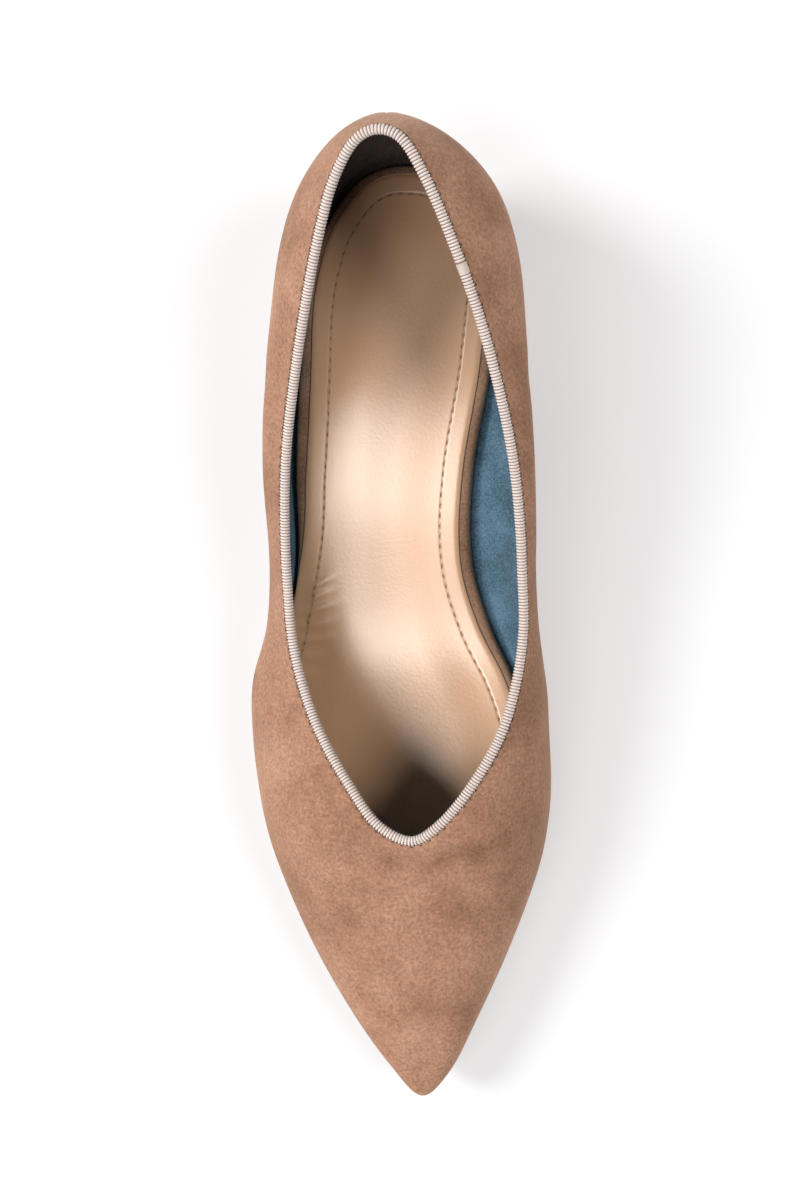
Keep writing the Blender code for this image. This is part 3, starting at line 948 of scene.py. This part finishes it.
# how far the sock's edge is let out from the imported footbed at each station, all in mm
letOutColumns = ("station", "lateral", "medial")
letOut = [
    (0.0, -1.7, -1.7), (7.0, -1.7, -1.7), (12.0, -2.1, -1.4), (18.0, -2.0, -0.8), (30.0, -0.9, 0.0),
    (46.0, -0.4, 0.4), (56.0, -0.5, 0.9), (65.0, -0.9, 1.3), (75.0, -1.3, 1.7), (85.0, -1.1, 1.9),
    (94.0, -0.5, 1.8), (103.0, 0.2, 1.4), (113.0, 0.7, 0.6), (123.0, 0.8, -0.2), (133.0, 0.6, 0.1),
    (142.0, 0.3, 0.8), (152.0, 0.0, 0.8), (170.0, 0.0, 0.0), (240.0, 0.0, 0.0),
]

sockCut = {
    "columns": 90,
    "proud": 0.45,
    "thickness": 0.7,
    "rollDepth": 0.4,
    "rollWidth": 0.8,
    "stitchInset": 5.3,
    "slotInset": 5.55,
    "padRise": 0.4,
    "padFrom": 6.4,
    "padTo": 18.0,
    "stitchEndStation": 214.0,
    "castFrom": 100.0,
}

# small puckers near the lateral ball: centre, half length, width and height in mm, turn in degrees
puckerColumns = ("x", "station", "reach", "width", "height", "turn")
puckers = [
    (-24.0, 119.5, 4.5, 0.9, 0.6, 26.0),
    (-24.5, 122.8, 4.0, 0.9, 0.7, 24.0),
    (-25.5, 126.6, 5.0, 1.0, 0.8, 20.0),
    (-26.0, 130.6, 4.5, 1.0, 0.8, 16.0),
    (-27.0, 135.0, 5.0, 1.1, 0.72, 12.0),
    (-28.0, 139.6, 4.5, 1.1, 0.65, 8.0),
    (-29.0, 144.4, 4.0, 1.1, 0.55, 5.0),
]


def levelFaces(shape, facing):
    # the largest smooth region that faces up (1) or down (-1)
    regions = faceRegions(shape, footbedCut["smoothWithin"])
    level = footbedCut["mostlyLevel"]
    return next(r for r in regions if sum(f.normal.z for f in r) * facing > level * len(r))


def runAlong(line):
    return np.concatenate([[0.0], np.cumsum(np.linalg.norm(np.diff(line, axis=0), axis=1))])


def evenly(line, count):
    run = runAlong(line)
    stops = np.linspace(0.0, run[-1], count)
    return np.column_stack([np.interp(stops, run, line[:, axis]) for axis in range(3)])


def smoothLine(spots, count):
    # places on a smooth curve through the spots
    line = np.array(spots)
    run = runAlong(line)
    slopes = np.gradient(line, run, axis=0)
    stops = np.linspace(0.0, run[-1], count)
    span = np.clip(np.searchsorted(run, stops, side="right") - 1, 0, len(run) - 2)
    width = (run[span + 1] - run[span])[:, None]
    f = (stops - run[span])[:, None] / width
    between = (1 + 2 * f) * (1 - f) ** 2 * line[span] + (3 - 2 * f) * f ** 2 * line[span + 1]
    return between + width * f * (1 - f) * ((1 - f) * slopes[span] - f * slopes[span + 1])


def footbedSides(facing):
    # the lateral and medial edge of the footbed's top or underside, each from the heel's back to the toe
    shape = mergedQuads("insole")
    keepFaces(shape, levelFaces(shape, facing))
    loop = [v.co.copy() for v in boundaryLoops(shape)[0]]
    shape.free()
    back = max(range(len(loop)), key=lambda i: loop[i].y)
    loop = loop[back:] + loop[:back]
    toeEnd = min(spot.y for spot in loop) + footbedCut["toeFlat"] * mm
    toe = [i for i, spot in enumerate(loop) if spot.y < toeEnd]
    line = smoothLine(loop[toe[-1]:] + loop[:toe[0] + 1], footbedCut["lineStops"])
    back = int(np.argmax(line[:, 1]))
    sides = sorted((line[back::-1], line[back:]), key=lambda side: side[:, 0].mean())
    return [evenly(side, footbedCut["rungs"]) for side in sides]


def averaged(values, side):
    # values along one side, each averaged over a reach so that they change slowly
    reach = footbedCut["evenReach"] * mm * (len(side) - 1) / runAlong(side)[-1]
    half = math.ceil(3 * reach)
    weights = np.exp(-0.5 * (np.arange(-half, half + 1) / reach) ** 2)
    longer = np.pad(values, half, mode="reflect", reflect_type="odd")
    return np.convolve(longer, weights / weights.sum(), mode="valid")


def outwardWays(sides):
    ways = []
    for side, sign in zip(sides, (1, -1)):
        along = np.gradient(side[:, :2], axis=0)
        way = sign * np.column_stack([along[:, 1], -along[:, 0]])
        ways.append(way / np.linalg.norm(way, axis=1)[:, None])
    ways[0][0] = ways[1][0] = (0.0, 1.0)  # both sides meet at the heel's back
    return ways


def sockSides():
    # the footbed's top edge, let out by the table and with an even slope
    sides = footbedSides(1)
    table = dict(zip(letOutColumns, np.array(letOut).T))
    moved = []
    for side, way, name in zip(sides, outwardWays(sides), ("lateral", "medial")):
        out = np.interp((heelBack - side[:, 1]) / mm, table["station"], table[name])
        plan = side[:, :2] + way * averaged(out, side)[:, None] * mm
        moved.append(np.column_stack([plan, averaged(side[:, 2], side)]))
    return moved


def besideEdge(sides, out, down):
    return [
        side + np.column_stack([way * out * mm, np.full(len(side), -down * mm)])
        for side, way in zip(sides, outwardWays(sides))
    ]


def rungsBetween(sides, columns):
    share = np.linspace(0.0, 1.0, columns + 1)[None, :, None]
    return sides[0][:, None] * (1 - share) + sides[1][:, None] * share


def meshFromGrids(name, grids):
    # quads over each grid of places, welded where grids meet
    shape = bmesh.new()
    for grid in grids:
        rows = [[shape.verts.new(place) for place in row] for row in grid]
        for here, there in zip(rows, rows[1:]):
            for i in range(len(here) - 1):
                shape.faces.new((here[i], here[i + 1], there[i + 1], there[i]))
    bmesh.ops.remove_doubles(shape, verts=shape.verts, dist=meshCut["gridWeld"] * mm)
    bmesh.ops.recalc_face_normals(shape, faces=shape.faces)
    return shapeToMesh(name, shape)


def footbedMesh(top, foot):
    rings = []
    for row in roll:
        share = dict(zip(rollColumns, row))
        weights = np.array([share["out"], share["out"], share["down"]])
        rings.append([high + (low - high) * weights for high, low in zip(top, foot)])
    strips = [np.stack([ring[k] for ring in rings], axis=1) for k in (0, 1)]
    caps = [rungsBetween(ring, footbedCut["columns"]) for ring in (rings[0], rings[-1])]
    return meshFromGrids("footbed", strips + caps)


def sockMesh(sides):
    lowered = besideEdge(sides, 0.0, sockCut["thickness"])
    skirts = [np.stack(pair, axis=1) for pair in zip(sides, lowered)]
    return meshFromGrids("leatheretteSock", [rungsBetween(sides, sockCut["columns"]), *skirts])


def smoothStep(value, low, high):
    share = np.clip((value - low) / (high - low), 0.0, 1.0)
    return share * share * (3 - 2 * share)


def edgeDistances(mesh, sides):
    # distance of each vertex from the sock's edge, in mm, seen from above
    finder = KDTree(sum(len(side) for side in sides))
    for i, (x, y, _) in enumerate(np.vstack(sides)):
        finder.insert((x, y, 0.0), i)
    finder.balance()
    return np.array([finder.find((v.co.x, v.co.y, 0.0))[2] for v in mesh.vertices]) / mm


def dressSock(mesh, sides):
    inset = edgeDistances(mesh, sides)
    places = points(mesh)
    lift = sockCut["proud"] + sockCut["padRise"] * smoothStep(inset, sockCut["padFrom"], sockCut["padTo"])
    lift -= sockCut["rollDepth"] * np.exp(-(inset / sockCut["rollWidth"]) ** 2)
    for row in puckers:
        pucker = dict(zip(puckerColumns, row))
        middle = np.array(onShoe(pucker["x"], pucker["station"], 0.0))
        turn = math.radians(pucker["turn"])
        aside = (places[:, :2] - middle[:2]) / mm
        along = aside[:, 0] * math.cos(turn) + aside[:, 1] * math.sin(turn)
        across = aside[:, 1] * math.cos(turn) - aside[:, 0] * math.sin(turn)
        lift += pucker["height"] * np.exp(-(along / pucker["reach"]) ** 2 - (across / pucker["width"]) ** 2)
    places[:, 2] += lift * mm
    movePoints(mesh, places)
    attribute = mesh.attributes.new("edgeDistance", "FLOAT", "POINT")
    attribute.data.foreach_set("value", inset.astype(np.float32))
    mesh.shade_smooth()
    return mesh


def sockStitchRows(mesh, sides, inset):
    # from the lateral toe round the heel to the medial toe
    tree = surfaceTree(mesh)
    lateral, medial = besideEdge(sides, -inset, 0.0)
    line = np.vstack([lateral[::-1], medial[1:]])
    toeEnd = heelBack - sockCut["stitchEndStation"] * mm
    above, below = Vector((0, 0, sockCut["castFrom"] * mm)), Vector((0, 0, -1))
    hits = [tree.ray_cast(Vector(spot) + above, below) for spot in line if spot[1] > toeEnd]
    return [(place, normal) for place, normal, _, _ in hits]


sides = sockSides()
stripFabric = microsuedeMaterial("brownMicrosuede", microsuedeLook, "brown")
footbed = newPiece("footbed", footbedMesh(sides, footbedSides(-1)), stripFabric)
footbed.data.shade_smooth()
finishPiece(footbed, ["insole"])
leatherette = sockMaterial(sockLook, sockCut["stitchInset"])
sock = newPiece("leatheretteSock", dressSock(sockMesh(sides), sides), leatherette)
finishPiece(sock)
sockRows = sockStitchRows(sock.data, sides, sockCut["stitchInset"])
stitchPiece("sockStitches", sockRows, False, stitchCut["sock"], tanThread)
# dark slits beside the thread: painted shade of the needle holes and of the step at the pad's edge
slotRows = sockStitchRows(sock.data, sides, sockCut["slotInset"])
stitchPiece("sockSlotPaintedShade", slotRows, False, stitchCut["slot"], slotShade)


# sole and heel

soleCut = {
    "outsole": {"levels": 2, "bevel": 0.45, "segments": 2},
    "heel": {"levels": 0, "bevel": 0.8, "segments": 3},
    "topPiece": {"levels": 0, "bevel": 0.25, "segments": 2},
    "sharpEdge": 30.0,
    "flatWithin": 0.999,
}


def dressedSolid(nodeName, pieceName, cut, material):
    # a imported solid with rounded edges: flat faces stay whole, long curved ones are smoothed
    shape = mergedQuads(nodeName)
    sharp, flat = soleCut["sharpEdge"], soleCut["flatWithin"]
    for region in faceRegions(shape, sharp):
        if len(region) > 1 and min(f.normal.dot(region[0].normal) for f in region) > flat:
            bmesh.ops.dissolve_faces(shape, faces=region)
    crease = shape.edges.layers.float.new("crease_edge")
    for edge in shape.edges:
        if edge.calc_face_angle(0.0) > math.radians(sharp):
            edge[crease] = 1.0
    piece = newPiece(pieceName, shapeToMesh(pieceName, shape), material)
    steps = [subdivided(cut["levels"])] if cut["levels"] else []
    steps.append(("BEVEL", {
        "width": cut["bevel"] * mm, "segments": cut["segments"], "limit_method": "ANGLE",
        "angle_limit": math.radians(sharp), "harden_normals": True,
    }))
    return applied(piece, *steps)


soleRubber = rubberMaterial("brownSoleRubber", rubberLook, "brown", roughness=0.42, coat=0.2)
topPieceRubber = rubberMaterial("tanTopPiece", rubberLook, "tan", roughness=0.3, coat=0.35)
outsole = dressedSolid("outsole", "brownOutsole", soleCut["outsole"], soleRubber)
finishPiece(outsole, ["outsole"])
heel = dressedSolid("heel_block", "suedeHeel", soleCut["heel"], suede)
finishPiece(heel, ["heel_block"])
topPiece = dressedSolid("top_piece", "heelTopPiece", soleCut["topPiece"], topPieceRubber)
finishPiece(topPiece, ["top_piece"])
bpy.data.objects.remove(sheet)


# studio: pale floor, soft lamps at both sides and towards the toe, a room brightest at the skyline

studio = {
    "floorColour": "#c4c3c4",
    "floorGlow": 0.42,
    "floorSize": 40.0,
    "floorDrop": 0.1,
    "skylineHeights": (0.1, 0.22),
    "skylineTones": (0.75, 0.0),
    "ceilingHeights": (0.1, 0.65),
    "roomTones": (0.15, 0.03),
    "sides": (-0.7, 0.7),
    "sideTones": (1.0, 0.6),
}
lampColumns = ("name", "comesFrom", "angle", "power")
lamps = [
    ("lateralLamp", (-0.7, 0.15, 0.7), 24.0, 2.42),
    ("medialLamp", (0.64, 0.0, 0.77), 24.0, 1.3),
    ("lateralToeLamp", (-0.38, -0.3, 0.875), 22.0, 0.56),
    ("toeLamp", (-0.12, -0.45, 0.885), 22.0, 0.46),
]


def floorMaterial():
    # white acrylic sheet, matt and lit a little from below: keeps shadows pale
    return newMaterial(
        "whiteFloor", 0.9, Base_Color=linear(studio["floorColour"]), Specular_IOR_Level=0.1,
        Emission_Color=(1.0, 1.0, 1.0, 1.0), Emission_Strength=studio["floorGlow"],
    )[0]


def makeRoom():
    world = bpy.data.worlds.new("room")
    world.use_nodes = True
    tree = world.node_tree
    way = addNode(tree, "ShaderNodeTexCoord").outputs["Generated"]
    axes = addNode(tree, "ShaderNodeSeparateXYZ", {"Vector": way}).outputs
    upward = addNode(tree, "ShaderNodeMapRange", {
        "Value": axes["Z"], **limits("From", studio["ceilingHeights"]), **limits("To", studio["roomTones"]),
    }, interpolation_type="SMOOTHSTEP")
    sideways = addNode(tree, "ShaderNodeMapRange", {
        "Value": axes["X"], **limits("From", studio["sides"]), **limits("To", studio["sideTones"]),
    }, interpolation_type="SMOOTHSTEP")
    light = addNode(tree, "ShaderNodeMath", {
        0: upward.outputs["Result"], 1: sideways.outputs["Result"],
    }, operation="MULTIPLY")
    skyline = addNode(tree, "ShaderNodeMapRange", {
        "Value": axes["Z"],
        **limits("From", studio["skylineHeights"]), **limits("To", studio["skylineTones"]),
    }, interpolation_type="SMOOTHSTEP")
    brightest = addNode(tree, "ShaderNodeMath", {
        0: light.outputs["Value"], 1: skyline.outputs["Result"],
    }, operation="MAXIMUM")
    ground = tree.nodes["Background"]
    ground.inputs["Color"].default_value = (1.0, 1.0, 1.0, 1.0)
    tree.links.new(brightest.outputs["Value"], ground.inputs["Strength"])
    scene.world = world


def makeStudio():
    half = studio["floorSize"] / 2
    corners = [(-half, -half, 0), (half, -half, 0), (half, half, 0), (-half, half, 0)]
    mesh = bpy.data.meshes.new("floor")
    mesh.from_pydata(corners, [], [(0, 1, 2, 3)])
    floor = newPiece("floor", mesh, floorMaterial())
    floor.location.z = -studio["floorDrop"] * mm
    for row in lamps:
        lamp = dict(zip(lampColumns, row))
        direction = Vector(lamp["comesFrom"]).normalized()
        light = bpy.data.lights.new(lamp["name"], "SUN")
        light.angle = math.radians(lamp["angle"])
        light.energy = lamp["power"]
        stand = bpy.data.objects.new(lamp["name"], light)
        stand.location = direction
        stand.rotation_euler = direction.to_track_quat("Z", "Y").to_euler()
        scene.collection.objects.link(stand)


# camera: above and to the medial side, heel up and toe down

cameraAt = {"place": (62.8, 7.1, 450.0), "aim": (-2.1, 7.0, 0.0), "lens": 47.33, "sensor": 36.0}


def makeCamera():
    data = bpy.data.cameras.new("camera")
    data.lens = cameraAt["lens"]
    data.sensor_width = cameraAt["sensor"]
    camera = bpy.data.objects.new("camera", data)
    place = Vector(cameraAt["place"]) * mm
    back = (place - Vector(cameraAt["aim"]) * mm).normalized()
    right = Vector((0, 1, 0)).cross(back).normalized()
    turn = Matrix((right, back.cross(right), back)).transposed()
    camera.matrix_world = Matrix.Translation(place) @ turn.to_4x4()
    scene.collection.objects.link(camera)
    scene.camera = camera


makeStudio()
makeRoom()
makeCamera()
scene.view_settings.view_transform = "Standard"
print("studio and camera ready")
